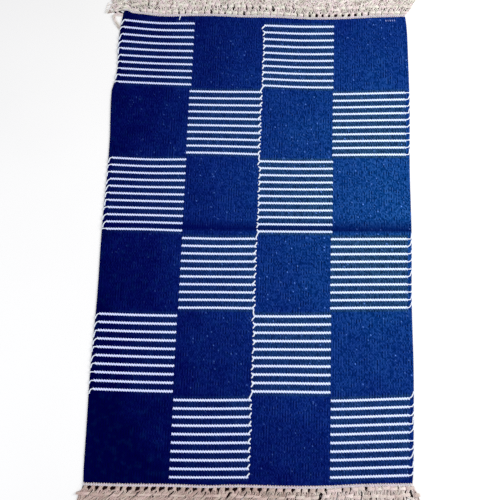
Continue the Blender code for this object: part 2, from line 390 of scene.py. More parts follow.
# the cloth
cloth = {
    "thickness": 4.0 * mm,
    "relief": 0.3 * mm,  # of a float, over the middle face
    "rim": 1.3,  # warps or picks, rounded
    "flatRim": 0.4,  # and with no relief
    "rimShare": 0.5,  # its height over the thickness
    "rimSteps": (0.22, 0.2),  # warps and picks
    "scallop": 0.35 * mm,
    "foldHeight": 1.5 * mm,
    "foldPick": (314.0, 310.5),  # at the left and right selvedge
    "foldFlanks": (3.2, 8.0),  # picks, towards the lower and upper end
    "foldRound": 0.2,  # of a flank, how blunt its top is
    "foldShare": (0.7, 1.0),  # of the height, left and right
    "foldShade": ((3.5, 4.5), (10, 16)),  # picks of painted shade below and above it, left and right
    "backSteps": (5, 4),  # picks and warps
    "backInset": 0.5 * mm,
}
yarn = {
    "roughness": 0.85,
    "pitches": (3.68, 2.28),  # mm, of warps and of picks
    "slant": 0.8,  # picks, over one warp
    "crowns": (2.6, 2.0),  # how round a blue and a white float are
    "whiteHalf": (1.24, 1.38),  # picks, half a white float's height, left and right
    "whiteStep": 0.56,  # picks, from one warp's float to the next
    "bump": 0.5 * mm,
    "whiteLift": 0.2,  # of the bump, a white float over a blue one
    # from least to most painted light; the ramp's two ends come first
    "blues": ((0.0, (0.0002, 0.0001, 0.048, 1)), (1.0, (0.0012, 0.060, 0.285, 1)),
              (0.22, (0.0003, 0.0020, 0.102, 1)), (0.46, (0.0005, 0.0145, 0.176, 1)),
              (0.64, (0.0008, 0.0300, 0.220, 1))),
    "lightPlace": (235, 350),  # warp and pick where the painted light is brightest
    "lightReach": (270, 575),  # warps and picks
    "lightSkew": 0.25,
    "lightPatches": (0.012, 0.3),  # scale and strength of the painted light's uneven patches
    "deepBlue": (0.0003, 0.0008, 0.018, 1),  # a float's darkest tone, which painted shade at its rim and its random tone lead towards
    "meanTone": 0.518,  # where 1 is the full blue
    "domeTone": 0.36,  # a float's middle over its rim, which is painted shade between floats
    "floatTones": (0.26, 0.5),  # spread where the painted light is least, and more where it is strong
    "warpTones": (-0.27, 0.9),  # every second warp is lighter in some patches
    "warpPatch": (5, 2.6),  # warps and picks
    "betweenStripes": (0.014, 0.058, 0.118, 1),
    "betweenFrom": 0.08,  # of the painted light
    "tealBlue": (0.0008, 0.050, 0.160, 1),
    "tealPatches": (0.05, 0.5),  # scale and strength
    "lint": (0.11, 0.22, 0.47, 1),
    "lintTones": (0.6, 0.3),  # from this tone on, and strength
    "fleck": (0.15, 0.34, 1.0, 1),
    "fleckShare": 0.022,  # of the floats
    "fleckPower": 3,  # most flecks are faint
    "fleckStrength": 1.2,
    "fleckFrom": 0.1,  # of the painted light
    "fleckRim": 0.1,
    "shadedWhite": (0.74, 0.78, 1.0, 1),  # where the painted light is least
    "litWhite": (0.80, 0.95, 1.0, 1),
    "whiteDeep": (0.38, 0.46, 0.88, 1),
    "whiteTones": (0.8, 0.3),  # its middle over its rim, which is painted shade between floats, and spread
    # painted shade on the crease's far side: how much it darkens the white yarn, its blue, its shares and
    # its edge
    "whiteCreaseShade": 0.3,
    "creaseShadeBlue": (0.0001, 0.0003, 0.060, 1),
    "creaseShares": (0.68, 0.2),
    "creaseEdge": 0.8,
    "oddPick": (615, 224.0, 235.0),  # a pick with pale floats, from warp to warp
    "oddPickShares": (0.3, 0.5),
    "oddPickRim": 0.2,
}


def acrossCloth(warp, pair):
    # from the first value at the left selvedge to the second at the right one
    return pair[0] + (warp - leftWarp) * ((pair[1] - pair[0]) / clothWarps)


def foldHeight(warp, pick):
    height = cloth["foldHeight"] * acrossCloth(warp, cloth["foldShare"])
    away = pick - acrossCloth(warp, cloth["foldPick"])
    flank = np.where(away < 0, cloth["foldFlanks"][0], cloth["foldFlanks"][1])
    return height * np.exp(cloth["foldRound"] - np.sqrt((away / flank) ** 2 + cloth["foldRound"] ** 2))


def roundedRim(inward):
    # from 0 at the edge to 1, for a distance in warps or picks
    return np.sqrt(1 - (1 - np.clip(inward / cloth["rim"], 0, 1)) ** 2)


def bodyHeight(rounded):
    return cloth["thickness"] * (cloth["rimShare"] + (1 - cloth["rimShare"]) * rounded)


def topHeight(warp, pick):
    # a float is high where its warp and pick are both odd or both even
    inward = np.minimum(np.minimum(warp - leftWarp, rightWarp - warp), np.minimum(pick, lastPick - pick))
    rounded = roundedRim(inward)
    over = np.where((np.floor(warp) + np.floor(pick)) % 2 == 0, 1, -1)
    relief = cloth["relief"] * over * (inward > cloth["flatRim"])
    return bodyHeight(rounded) + foldHeight(warp, pick) * rounded + relief


def clothHalf(name, picks, finish):
    warp, pick = np.meshgrid(warpPlaces, picks)
    plan = clothPlace(warp, pick)
    edge = np.sign(warp) * ((warp == leftWarp) | (warp == rightWarp))
    plan[..., 0] += edge * cloth["scallop"] * np.where(np.floor(pick) % 2 == 0, 1, -1)
    top = np.dstack([plan, topHeight(warp, pick)])
    topAt = np.arange(warp.size).reshape(warp.shape)

    # the back is the same weave in larger steps
    backRows, backColumns = (np.unique(np.append(np.arange(0, number, step), number - 1))
                             for number, step in zip(warp.shape, cloth["backSteps"]))
    held = np.ix_(backRows, backColumns)
    back = top[held].copy()
    back[..., 2] = 0.0
    back[..., 0] -= edge[held] * cloth["backInset"]
    backAt = warp.size + np.arange(back.shape[0] * back.shape[1]).reshape(back.shape[:2])

    def quads(at, flip):
        a, b, c, d = at[:-1, :-1], at[:-1, 1:], at[1:, 1:], at[1:, :-1]
        ring = (a, d, c, b) if flip else (a, b, c, d)
        return np.stack(ring, axis=-1).reshape(-1, 4).tolist()

    def wall(fine, coarse, steps, flip):
        # one face for each step of the back, with all the top's points that it spans
        faces = []
        for k in range(len(steps) - 1):
            ring = [coarse[k], coarse[k + 1]] + list(fine[steps[k]:steps[k + 1] + 1][::-1])
            faces.append([int(i) for i in (ring[::-1] if flip else ring)])
        return faces

    faces = quads(topAt, False) + quads(backAt, True)
    faces += wall(topAt[0], backAt[0], backColumns, False)
    faces += wall(topAt[-1], backAt[-1], backColumns, True)
    faces += wall(topAt[:, 0], backAt[:, 0], backRows, True)
    faces += wall(topAt[:, -1], backAt[:, -1], backRows, False)
    points = np.concatenate([top.reshape(-1, 3), back.reshape(-1, 3)])
    places = np.dstack([warp, pick])
    corners = np.concatenate([places.reshape(-1, 2), places[held].reshape(-1, 2)])[np.concatenate(faces)]
    return makePiece(name, points, faces, finish, "rug_body", "weave", corners)


def navyWeave():
    finish = Finish("navyWeave", yarn["roughness"], 0.0)
    across, along = finish.uv("weave")
    warp = across.floor()
    inWarp = across - warp - 0.5
    odd = warp % 2
    slid = along + inWarp * yarn["slant"]
    blueCrown, whiteCrown = (1 - inWarp * inWarp * crown for crown in yarn["crowns"])

    def spread(name, wire):
        # the first of two values, and the second times this wire more
        least, more = yarn[name]
        return wire * more + least

    # which blue pick shows here, and how far up its float this is
    pick = ((slid + 0.5 - odd) / 2).floor() * 2 + odd
    inPick = slid - pick - 0.5
    blueDome = (1 - inPick * inPick) * blueCrown

    # white picks: two in ten, only in the striped blocks
    pitch = weave["stripePitch"]
    firstWhite = weave["firstStripe"] - yarn["whiteStep"] / 2
    fromWhite = ((slid - odd * yarn["whiteStep"] - firstWhite + pitch / 2) % pitch - pitch / 2).size()
    passed, turns = 0.0, weave["turns"][0]
    for end, before, after in zip(rowEnds[1:-1], weave["turns"], weave["turns"][1:]):
        beyond = slid > end
        passed = beyond + passed
        turns = [beyond * (new - old) + turn for turn, old, new in zip(turns, before, after)]
    block = sum(across > turn for turn in turns)
    over = weave["stripesOver"]
    inside = (warp > -over - 0.5) * (warp < blockWarps + over - 0.5)
    striped = (block + passed) % 2 * inside * (slid > rowEnds[0]) * (slid < rowEnds[-1])
    half = acrossCloth(across, yarn["whiteHalf"])
    white = striped * (half > fromWhite)
    whiteDome = (1 - (fromWhite / half) ** 2) * whiteCrown

    # painted light: the cloth is painted lighter towards one place, as a pool of light, in soft uneven
    # patches
    place = finish.both(across * yarn["pitches"][0], along * yarn["pitches"][1])
    scale, strength = yarn["lightPatches"]
    patches = (finish.cloudy(place, scale, 3.0) - 0.5) * strength
    fromRight = (across - yarn["lightPlace"][0]) / yarn["lightReach"][0]
    fromTop = (along - yarn["lightPlace"][1]) / yarn["lightReach"][1]
    away = fromRight * fromRight + fromTop * fromTop + fromRight * fromTop * yarn["lightSkew"]
    paintedLight = (1.0 - away ** 0.5 + patches).atLeast(0).atMost(1)

    # each float has its own tone, and small patches show every second warp lighter
    floatTone = finish.chance(warp, pick)
    patchWarps, patchPicks = yarn["warpPatch"]
    patchTone = finish.chance((warp / patchWarps).floor(), (along / patchPicks).floor(), seed=17)
    # painted shade: each float darkens from its middle to its rim, where its neighbours shade it
    tone = yarn["meanTone"] + blueDome.atLeast(0) * yarn["domeTone"]
    tone = tone + (floatTone - 0.5) * spread("floatTones", paintedLight)
    tone = tone + (odd - 0.5) * spread("warpTones", patchTone)

    # the blues, lighter with the painted light, with teal patches, and pale lint and flecks that show more
    # where the painted light is strong
    blue = finish.node("ValToRGB", {"stops": yarn["blues"]}, {0: paintedLight})
    blue = finish.blend((striped * (paintedLight - yarn["betweenFrom"])).atLeast(0), blue, yarn["betweenStripes"])
    scale, strength = yarn["tealPatches"]
    blue = finish.blend((finish.cloudy(place, scale) - 0.5).atLeast(0) * strength, blue, yarn["tealBlue"])
    blue = finish.blend(tone.atLeast(0), yarn["deepBlue"], blue)
    start, strength = yarn["lintTones"]
    blue = finish.blend((tone - start).atLeast(0) * paintedLight * strength, blue, yarn["lint"])
    fleck = (finish.chance(warp, pick, seed=31) - (1 - yarn["fleckShare"])).atLeast(0) / yarn["fleckShare"]
    fleck = fleck ** yarn["fleckPower"] * (paintedLight - yarn["fleckFrom"]).atLeast(0) * yarn["fleckStrength"]
    blue = finish.blend(fleck * (blueDome + yarn["fleckRim"]).atLeast(0), blue, yarn["fleck"])

    # an old crease runs across the middle, and painted shade darkens the cloth on its far side
    fromCrease = along - acrossCloth(across, cloth["foldPick"])
    nearSide, farSide = (fromCrease / acrossCloth(across, pair) for pair in cloth["foldShade"])
    shade = (1 - farSide).atMost(1).atLeast(0) * (1 + nearSide).atMost(1).atLeast(0)
    creaseShade = shade ** yarn["creaseEdge"] * spread("creaseShares", floatTone)
    blue = finish.blend(creaseShade, blue, yarn["creaseShadeBlue"])

    # the white yarn, and one pick with pale floats
    # painted light: the white yarn is lighter where the painted light is
    whiteYarn = finish.blend(paintedLight, yarn["shadedWhite"], yarn["litWhite"])
    domeShare, floatShare = yarn["whiteTones"]
    whiteTone = whiteDome.atLeast(0) * domeShare + floatTone * floatShare
    # painted shade: the white floats darken at their rims, and in the crease
    whiteYarn = finish.blend(whiteTone * (1 - shade * yarn["whiteCreaseShade"]), yarn["whiteDeep"], whiteYarn)
    oddPick, firstWarp, lastWarp = yarn["oddPick"]
    paleFloat = ((pick - oddPick).size() < 0.5) * (across > firstWarp) * (across < lastWarp)
    paleFloat = paleFloat * spread("oddPickShares", floatTone) * (blueDome + yarn["oddPickRim"]).atLeast(0)
    blue = finish.blend(paleFloat, blue, whiteYarn)
    finish.feed("Base Color", finish.blend(white, blue, whiteYarn))
    finish.bumps(blueDome * (1 - white) + (whiteDome + yarn["whiteLift"]) * white, yarn["bump"])
    return finish


def edgedPlaces(first, last, inset):
    # the middles of all whole warps or picks, and two places at each edge
    middles = np.arange(math.ceil(first), math.floor(last)) + 0.5
    return np.concatenate([[first, first + inset], middles, [last - inset, last]])


clothFinish = navyWeave()
warpPlaces = edgedPlaces(leftWarp, rightWarp, cloth["rimSteps"][0])
pickPlaces = edgedPlaces(0.0, lastPick, cloth["rimSteps"][1])
middleRow = int(np.searchsorted(pickPlaces, lastPick / 2))
lowerHalf = clothHalf("cloth_lower_half", pickPlaces[:middleRow + 1], clothFinish)
upperHalf = clothHalf("cloth_upper_half", pickPlaces[middleRow:], clothFinish)
print("cloth woven")

up = np.array([0.0, 0.0, 1.0])
roundShare = 0.98  # a yarn's uv is its whole number, and up to this more on the way round it


def tubes(paths, radii, sides, facing, twist=(0, 0, 1)):
    # round yarns along the paths, with closed ends; facing is a way that the yarns never take;
    # twist is the number of plies, how much they stand out and how long a turn is
    plies, depth, pitch = twist
    number, steps = paths.shape[:2]
    way = np.gradient(paths, axis=1)
    way /= np.linalg.norm(way, axis=2, keepdims=True)
    side = np.cross(way, np.broadcast_to(facing, way.shape))
    side /= np.linalg.norm(side, axis=2, keepdims=True)
    lift = np.cross(side, way)
    gone = np.linalg.norm(np.diff(paths, axis=1), axis=2)
    gone = np.concatenate([np.zeros((number, 1)), np.cumsum(gone, axis=1)], axis=1)
    angle = 2 * math.pi * np.arange(sides) / sides
    turn = angle - 2 * math.pi * gone[..., None] / pitch
    reach = np.broadcast_to(radii, (number, steps))[..., None] * (1 + depth * np.cos(plies * turn))
    ring = np.cos(angle)[:, None] * side[:, :, None] + np.sin(angle)[:, None] * lift[:, :, None]
    points = paths[:, :, None] + reach[..., None] * ring
    at = np.arange(number * steps * sides).reshape(number, steps, sides)
    nextAt = np.roll(at, -1, axis=2)
    quads = np.stack([at[:, :-1], nextAt[:, :-1], nextAt[:, 1:], at[:, 1:]], axis=-1)
    faces = quads.reshape(-1, 4).tolist() + at[:, 0, ::-1].tolist() + at[:, -1].tolist()

    # uv: the yarn's number and the way round it, then mm along it
    own = np.arange(number)[:, None, None] + np.arange(sides) / sides * roundShare
    own = np.broadcast_to(own, (number, steps - 1, sides))
    far = own + roundShare / sides
    low, high = (np.broadcast_to(along[..., None], own.shape) / mm for along in (gone[:, :-1], gone[:, 1:]))
    uvs = [np.stack(pair, axis=-1) for pair in ((own, low), (far, low), (far, high), (own, high))]
    caps = [np.stack([own[:, 0], along], axis=-1).reshape(-1, 2) for along in (low[:, 0], high[:, -1])]
    corners = np.concatenate([np.stack(uvs, axis=-2).reshape(-1, 2)] + caps)
    return points.reshape(-1, 3), faces, corners


def together(parts):
    # several sets of tubes as one mesh; each set's yarns keep their own numbers
    points, faces, corners, count, yarns = [], [], [], 0, 0
    for somePoints, someFaces, someCorners in parts:
        points.append(somePoints)
        faces += [[i + count for i in face] for face in someFaces]
        corners.append(someCorners + (yarns, 0))
        count += len(somePoints)
        yarns += int(someCorners[:, 0].max()) + 1
    return np.concatenate(points), faces, np.concatenate(corners)


carried = {
    # how white yarn runs at the middle join: (warps, picks, mm over the cloth) from a stripe's end
    "downWay": (
        (-1.3, 0.2, -0.6), (-0.7, -0.3, 0.6), (-0.2, -1.4, 1.0), (0.2, -2.8, 1.0), (0.7, -4.1, 0.7),
        (0.9, -4.9, -1.8), (0.95, -5.8, -3.0), (0.85, -7.0, -3.0), (0.7, -7.9, -1.6), (0.4, -8.7, 0.5),
        (0.0, -9.6, 0.5), (-0.8, -10.0, -0.9),
    ),
    "upWay": (
        (-1.3, 0.2, -0.6), (-0.8, -0.3, 0.5), (-0.3, -1.5, 0.9), (0.4, -3.0, 0.9), (1.0, -4.4, 0.6),
        (1.25, -5.2, -1.8), (1.25, -6.2, -3.0), (1.1, -7.4, -3.0), (0.9, -8.4, -1.8), (0.55, -9.3, 0.0),
        (0.0, -9.9, 0.1), (-0.8, -10.0, -0.9),
    ),
    "firstWay": (
        (-1.3, 0.2, -0.6), (-0.5, -0.1, 0.5), (0.2, -1.5, 0.9), (1.0, -3.2, 0.9), (1.7, -4.7, 0.7),
        (2.0, -5.5, -1.8), (2.0, -6.2, -3.0), (1.5, -6.9, -2.8), (1.0, -7.6, -1.0), (0.6, -8.6, 0.7),
        (0.0, -9.6, 0.5), (-0.8, -10.0, -0.9),
    ),
    "linkWay": (
        (-1.2, 0.2, -0.9), (-0.5, -0.3, 0.5), (0.0, -1.8, 0.7), (0.5, -3.6, 0.6), (1.0, -5.4, 0.6),
        (1.5, -7.2, 0.6), (1.9, -8.9, 0.5), (2.4, -10.0, -0.8),
    ),
    "longWay": (
        (-0.6, 0.3, -0.9), (0.3, -0.5, -0.6), (0.5, -2.4, 0.2), (0.45, -4.4, 0.3), (0.5, -6.4, 0.3),
        (0.6, -8.4, 0.5), (1.0, -10.0, -0.8),
    ),
    "joinStart": 0.4,  # warps, to a stripe's end
    # at a selvedge: warps that it runs on straight and picks that it then drops, down the upper left
    # block; the other blocks take any of these
    "selvedgeRuns": (
        (0.7, 6.4), (0.7, 3.6), (0.5, 7.1), (0.1, 6.9), (2.2, 7.4), (1.0, 5.0), (1.2, 3.2), (2.9, 0.4),
        (2.1, 5.5), (2.7, 0.8),
    ),
    "selvedgeStart": 0.7,  # warps past the block, to a stripe's end
    "selvedgeReach": 3.2,  # warps from there to its last bend
    "selvedgeStarts": ((-1.2, 0.1, -0.6), (-0.3, 0, 0.4)),
    "selvedgeTuck": (0.05, -1.0, -0.8),  # past the bend
    "selvedgeBend": ((0, 0, 0.6), (0.45, 0.18, 0.6), (0.78, 0.52, 0.3), (1, 1, -0.3)),  # shares, and mm
    "looseEnd": ((48.6, 623.0, 0.2), (48.4, 621.0, -0.4), (48.2, 618.6, -0.8), (47.9, 616.3, -1.0),
                 (47.6, 614.2, -1.2)),  # at the upper edge, in warps and picks of the cloth
    "joinWidth": 1.9 * mm,
    "selvedgeWidth": 1.55 * mm,
    "sides": 7,
    "twist": (2, 0.12, 7 * mm),
    "hiddenHeights": (1.3 * mm, 3.6 * mm),  # low in the cloth it is pressed thin
    "hiddenShare": 0.5,
    "lowest": 1.14 * mm,
    "uneven": (0.175, 0.14),  # warps and picks, of a run and of each point
    "steps": 22,
    "seed": 5,
}


def stripePicks(row):
    # middles of the stripes in a row of blocks, the lowest row being 0
    first = rowEnds[row] + weave["stripePitch"] / 2
    return np.arange(first, rowEnds[row + 1], weave["stripePitch"])


def carriedPath(way, warp, pick, sideways, upward, chance):
    # one run of white yarn, from the stripe's end at this warp and pick
    table = np.array(way, float)
    wholeRun, eachPoint = carried["uneven"]
    table[:, :2] += chance.normal(0, wholeRun, 2)
    table[1:-1, :2] += chance.normal(0, eachPoint, (len(table) - 2, 2))
    steps = np.linspace(0, len(table) - 1, carried["steps"])
    warps, picks, lifts = smoothAlong(np.arange(len(table)), table.T, steps)
    warps = warp + sideways * warps
    picks = pick + upward * picks
    body = bodyHeight(roundedRim(np.minimum(warps - leftWarp, rightWarp - warps)))
    heights = body + foldHeight(warps, picks) + lifts * mm
    return np.column_stack([clothPlace(warps, picks), np.maximum(heights, carried["lowest"])])


def selvedgeWay(straight, drop):
    # along its stripe, then round a bend to the selvedge
    reach = carried["selvedgeReach"]
    bend = [(straight + (reach - straight) * out, -drop * down, lift)
            for out, down, lift in carried["selvedgeBend"]]
    return (*carried["selvedgeStarts"], *bend, np.add((reach, -drop, 0), carried["selvedgeTuck"]))


def carriedYarn(finish):
    chance = np.random.default_rng(carried["seed"])
    start = carried["joinStart"]
    left = -carried["selvedgeStart"]
    right = blockWarps - left
    runs = carried["selvedgeRuns"]
    highestRow = len(rowEnds) - 2
    joins, selvedges = [], []
    for row in range(highestRow + 1):
        picks = stripePicks(row)
        middle = weave["turns"][row][1]
        for i, pick in enumerate(picks):
            lowest, highest = i == 0, i == len(picks) - 1
            run = selvedgeWay(*runs[-1 - i if row == highestRow else chance.integers(len(runs))])
            if row % 2 == 1:
                # the first and third columns are striped, and the yarn goes down at their left sides
                way = "linkWay" if lowest else "firstWay" if highest else "downWay"
                joins.append(carriedPath(carried[way], middle + start, pick, -1, 1, chance))
                selvedges.append(carriedPath(run, left, pick, -1, 1, chance))
            else:
                if not highest:
                    joins.append(carriedPath(carried["upWay"], middle - start, pick, 1, -1, chance))
                if lowest and row > 0:
                    joins.append(carriedPath(carried["longWay"], middle - start, pick, 1, 1, chance))
                selvedges.append(carriedPath(run, right, pick, 1, -1, chance))
    joins.append(carriedPath(carried["looseEnd"], 0, 0, 1, 1, chance))
    parts = []
    for paths, width in ((joins, carried["joinWidth"]), (selvedges, carried["selvedgeWidth"])):
        paths = np.array(paths)
        thick = np.interp(paths[..., 2], carried["hiddenHeights"], (carried["hiddenShare"], 1))
        parts.append(tubes(paths, width * thick, carried["sides"], up, carried["twist"]))
    points, faces, corners = together(parts)
    return makePiece("carried_white_yarn", points, faces, finish, "rug_body", "yarn", corners)


yarnLooks = {
    # a yarn's two ends of tone, its dusky colour for painted shade in its furrows and for random patches,
    # and its slight tints from place to place
    "whiteYarn": {
        "pale": (0.88, 0.94, 1.0, 1), "dark": (0.76, 0.82, 0.98, 1), "dusky": (0.62, 0.70, 0.92, 1),
        "twistPitch": 7.0},
    "creamYarn": {
        "pale": (0.99, 0.96, 0.95, 1), "dark": (0.76, 0.70, 0.68, 1), "dusky": (0.46, 0.37, 0.34, 1),
        "tints": ((1.0, 0.91, 0.95, 1), (0.95, 1.0, 0.91, 1)), "toneSpread": 0.9},
    # painted shade: the lower fringe's yarn has darker dark tones and a wider spread than the upper one's
    "shadedLowerYarn": {
        "pale": (1.0, 0.96, 0.94, 1), "dark": (0.70, 0.61, 0.58, 1), "dusky": (0.38, 0.28, 0.26, 1),
        "tints": ((1.0, 0.91, 0.92, 1), (0.97, 0.97, 0.92, 1)), "toneSpread": 1.9,
        "leftShade": ((0.10, 0.24), (0.76, 0.69, 0.66))},  # painted shade towards the left: from this x to this one, and how dark
    # painted shade: the strands under the knots and the ends beside the slipped bunch are dark, to stand for
    # the shade between them
    "shadedYarn": {
        "pale": (0.62, 0.52, 0.48, 1), "dark": (0.40, 0.32, 0.29, 1), "dusky": (0.25, 0.18, 0.16, 1),
        "tints": ((1.0, 0.92, 0.94, 1), (0.95, 0.98, 0.90, 1)),
        "holeShade": ((36, 46), (0.012, 0.003, 0.004, 1))},  # painted shade near the cloth, out to these mm along the yarn
    "headingYarn": {
        "pale": (0.88, 0.85, 0.91, 1), "dark": (0.68, 0.64, 0.70, 1), "dusky": (0.42, 0.37, 0.42, 1),
        "tints": ((1.0, 0.95, 1.0, 1), (0.96, 0.98, 0.95, 1))},
}
cotton = {
    # for all yarns, where their looks say nothing else
    "roughness": 0.9,
    "twistPitch": 6.5,
    "toneSpread": 0.7,
    "tints": ((1, 1, 1, 1), (1, 1, 1, 1)),
    "plies": 2,
    "ownTone": 0.6,  # of its tone; the rest is shared by a group
    "group": 4,
    "meanTone": 0.62,
    "wisps": (9.0, 0.35),  # scale round the yarn, and along it for each mm
    "wispTone": 2.2,
    "wispBump": 0.5,
    "duskyPatches": (38.0, 0.45, 1.2),  # scale, least and strength
    "tintPatches": (90.0, 0.35, 3.3),
    "furrow": 0.45,
    "bump": 0.35 * mm,
}


def yarnFinish(name):
    # twisted cotton yarn: the plies run round it, and each yarn has its own tone
    look = cotton | yarnLooks[name]
    finish = Finish(name, look["roughness"])
    around, gone = finish.uv("yarn")
    number = around.floor()
    turn = 2 * math.pi * look["plies"]
    ply = ((around - number) * turn - gone * (turn / look["twistPitch"])).wave() * 0.5 + 0.5
    own, shared = finish.chance(number, 3.0), finish.chance((number / look["group"]).floor(), 5.0)
    tone = own * look["ownTone"] + shared * (1 - look["ownTone"])
    scaleRound, scaleAlong = look["wisps"]
    wisps = finish.cloudy(finish.both(around * scaleRound, gone * scaleAlong), 1.0, 3.0)
    tone = (tone - 0.5) * look["toneSpread"] + (wisps - 0.5) * look["wispTone"] + look["meanTone"]
    colour = finish.blend(tone, look["dark"], look["pale"])
    place = finish.objectPlace()
    scale, least, strength = look["duskyPatches"]
    dusk = (finish.cloudy(place, scale) - least).atLeast(0) * strength
    colour = finish.blend(dusk, colour, look["dusky"])
    # painted shade in the furrows between the plies
    colour = finish.blend(ply * look["furrow"] + (1 - look["furrow"]), look["dusky"], colour)
    scale, least, strength = look["tintPatches"]
    colour = colour * finish.blend((finish.cloudy(place, scale, 1.0) - least) * strength, *look["tints"])
    # painted shade: the yarn is darker towards the left
    if "leftShade" in look:
        (start, end), leftShade = look["leftShade"]
        x = finish.node("SeparateXYZ", {}, {0: place})
        colour = finish.blend((x - start) / (end - start), colour * leftShade, colour)
    # painted shade: the yarn is nearly black close to the cloth
    if "holeShade" in look:
        (start, end), holeShade = look["holeShade"]
        colour = finish.blend((gone - start) / (end - start), holeShade, colour)
    finish.feed("Base Color", colour)
    finish.bumps(ply + wisps * look["wispBump"], look["bump"])
    return finish


carriedPiece = carriedYarn(yarnFinish("whiteYarn"))
print("white yarn carried from stripe to stripe")

fringe = {
    "strandsPerBunch": 11,
    "strandWidths": (0.92 * mm, 1.3225 * mm),  # radii, as all widths and cords here
    "taper": (6, 0.6),  # over its last steps, to this share
    "sides": 6,
    "steps": 30,
    "strandTwist": (2, 0.18, 6.5 * mm),
    "levels": (2.2 * mm, 4.1 * mm),  # heights of the two layers
    "tipLevel": 1.4 * mm,
    "length": 75 * mm,
    "lengthSpread": 0.06,
    "looseLength": 20 * mm,  # at least, past the second knot
    "halfShift": 0.47,  # of a knot's width, from its middle to each half bunch
    "sideSpread": 0.03,  # bunches
    "spread": 0.5,  # bunches, of the loose ends
    "ownSpread": 0.1,  # of each in a lock
    "kinks": 0.09,  # bunches, sideways at each bend
    "crimp": 0.65 * mm,  # sideways, times the end's kinks
    "crimpLengths": (7.2 * mm, 11.7 * mm),
    "crimpPhases": (1.6, 2.6),  # turns
    "crimpStart": ((0, 18 * mm, 40 * mm), (0, 0.5, 1)),  # this far along a strand, shares of it
    "margin": 0.75,  # bunches, past the outer bunches' middles
    "lowStrands": 12,  # under each bunch
    "lowWidth": 1.1 * mm,
    "lowLevel": 1.155 * mm,
    "lowSides": 5,
    "lowSteps": 12,
    "lowOuts": (0.5 * mm, 10 * mm, 22 * mm, 36 * mm, 50 * mm, 60 * mm),
    "lowSway": 0.07,  # bunches, added up from place to place
    "lowSways": (0.1, 0.4, 1, 1, 1),
    "lowMargin": 0.6,
    "headingAt": 4.0 * mm,  # out from the cloth's end
    "headingCord": 1.35 * mm,  # its two cords
    "headingReach": (1.8 * mm, 1.3 * mm),  # they wind this far outward and upward
    "headingTwist": 4,  # warps to a turn
    "headingSteps": 12,  # in each turn
    "headingInset": 0.3,  # warps
    "headingLift": 3.0 * mm,
    "warpEnds": ((-1.3, 3.4), (-0.5, 4.3), (1.6, 4.3), (3.3, 3.7), (5.0, 3.0)),  # mm out and up
    "warpEndWidth": 1.2 * mm,
    "warpEndStray": 0.35 * mm,
    "knotStray": ((0.06, 1.2 * mm), (0.1, 2.6 * mm)),  # sideways in bunches, and out, for each row
    "knotHighs": (2.1 * mm, 1.785 * mm),  # half a knot's height, for each row
    "knotLift": 0.35 * mm,
    "knotOver": 0.02,  # bunches
    "knotCord": 1.25 * mm,
    "knotTurns": 3.2,
    "knotPitch": 2.4 * mm,
    "knotPhase": 0.4,  # radians more for each bunch
    "knotSteps": 30,
    "knotTwist": (2, 0.12, 6.5 * mm),
    "turn": (12 * mm, 34 * mm),  # where strands lean over
    "earlyTurn": 0.4,  # share of it at the first
    "fanTurn": 7 * mm,  # the corners' own lean is full by here
    "fannedLengths": ((0.4, 0.65, 0.82, 1.0), (1.0, 1.16, 1.05, 0.6)),  # for shares of a quarter turn
    "fieldOuts": (-4 * mm, 90 * mm, 95),  # the strands' plan: from, to and steps
    "fieldSteps": 4,  # for each bunch
    "fieldSlope": 0.6,  # warps to each side
    "routeLengths": (0.88, 1),
    "routeWaves": (1.1, 2.2),
    "routeWave": 0.1,
    "slippedLevels": (1.38 * mm, 3.22 * mm),
}
fringeEnds = {
    # middle, swing: degrees that the strands lean, in waves along the end
    # fans: share along the end, degrees and reach
    # knotRows: out from the cloth; each knot of the second row lies between two of the first
    # gathers: for each row, shares along the end, and a knot's least and greatest width over a bunch's
    # lock: strands that stay together past the first knot. kinks: how much of the kinks above they have
    "fringe_upper_end": {
        "pick": lastPick, "outward": 1, "bunches": 44, "seed": 21, "yarn": "creamYarn",
        "middle": 2, "swing": 11, "waves": 1.3, "phase": 0.4,
        "fans": ((0, -92, 72 * mm), (1, 34, 20 * mm)),
        "knotRows": (13.0 * mm, 36.5 * mm),
        "gathers": (((0, 0.7, 0.95), (0.42, 0.6, 0.85), (0.47, 0.8, 1.0), (0.62, 0.8, 1.0),
                     (0.66, 0.38, 0.6), (0.85, 0.36, 0.56), (0.9, 0.8, 1.0)),
                    ((0, 0.8, 1.2), (0.38, 0.7, 1.1), (0.43, 0.6, 0.85), (0.58, 0.6, 0.85),
                     (0.65, 0.8, 1.2))),
        "lock": 1, "kinks": 1.8,
        # mm from the cloth's left corner: one bunch has slipped aside and parts in two,
        # and dark ends between its parts are painted shade: routes, strands and how far apart they lie
        "slipped": ((((-3.5, -14), (-12, -14), (-20, -13), (-27, -13.5), (-31, -18), (-31, -26),
                      (-26.5, -36), (-20, -46), (-13.5, -56), (-8, -65)), 7, 8.0),
                    (((-4, -12), (-13, -10.5), (-20, -7.5), (-25, -2), (-30, 5), (-36, 12),
                      (-43, 18)), 5, 5.0)),
        "shadingEnds": ((((2, -12.5), (-5, -8.5), (-11, -4.8), (-17, -1), (-22, 2.5)), 3, 3.0),
                   (((-26, -9), (-29, -5.5), (-32, -2), (-35, 1.5)), 2, 1.6)),
    },
    "fringe_lower_end": {
        "pick": 0.0, "outward": -1, "bunches": 41, "seed": 22, "yarn": "shadedLowerYarn",
        "middle": -22, "swing": 28, "waves": 0.5, "phase": -2.2,
        "fans": ((0, -12, 20 * mm), (1, 22, 20 * mm)),
        "knotRows": (11.0 * mm, 31.0 * mm),
        "gathers": (((0, 0.22, 0.42), (0.25, 0.22, 0.44), (0.5, 0.28, 0.58), (0.75, 0.6, 0.9),
                     (1, 0.8, 1.05)),
                    ((0, 0.7, 1.15), (0.5, 0.7, 1.1), (1, 0.88, 1.2))),
        "lock": 3, "kinks": 0.6,
    },
}


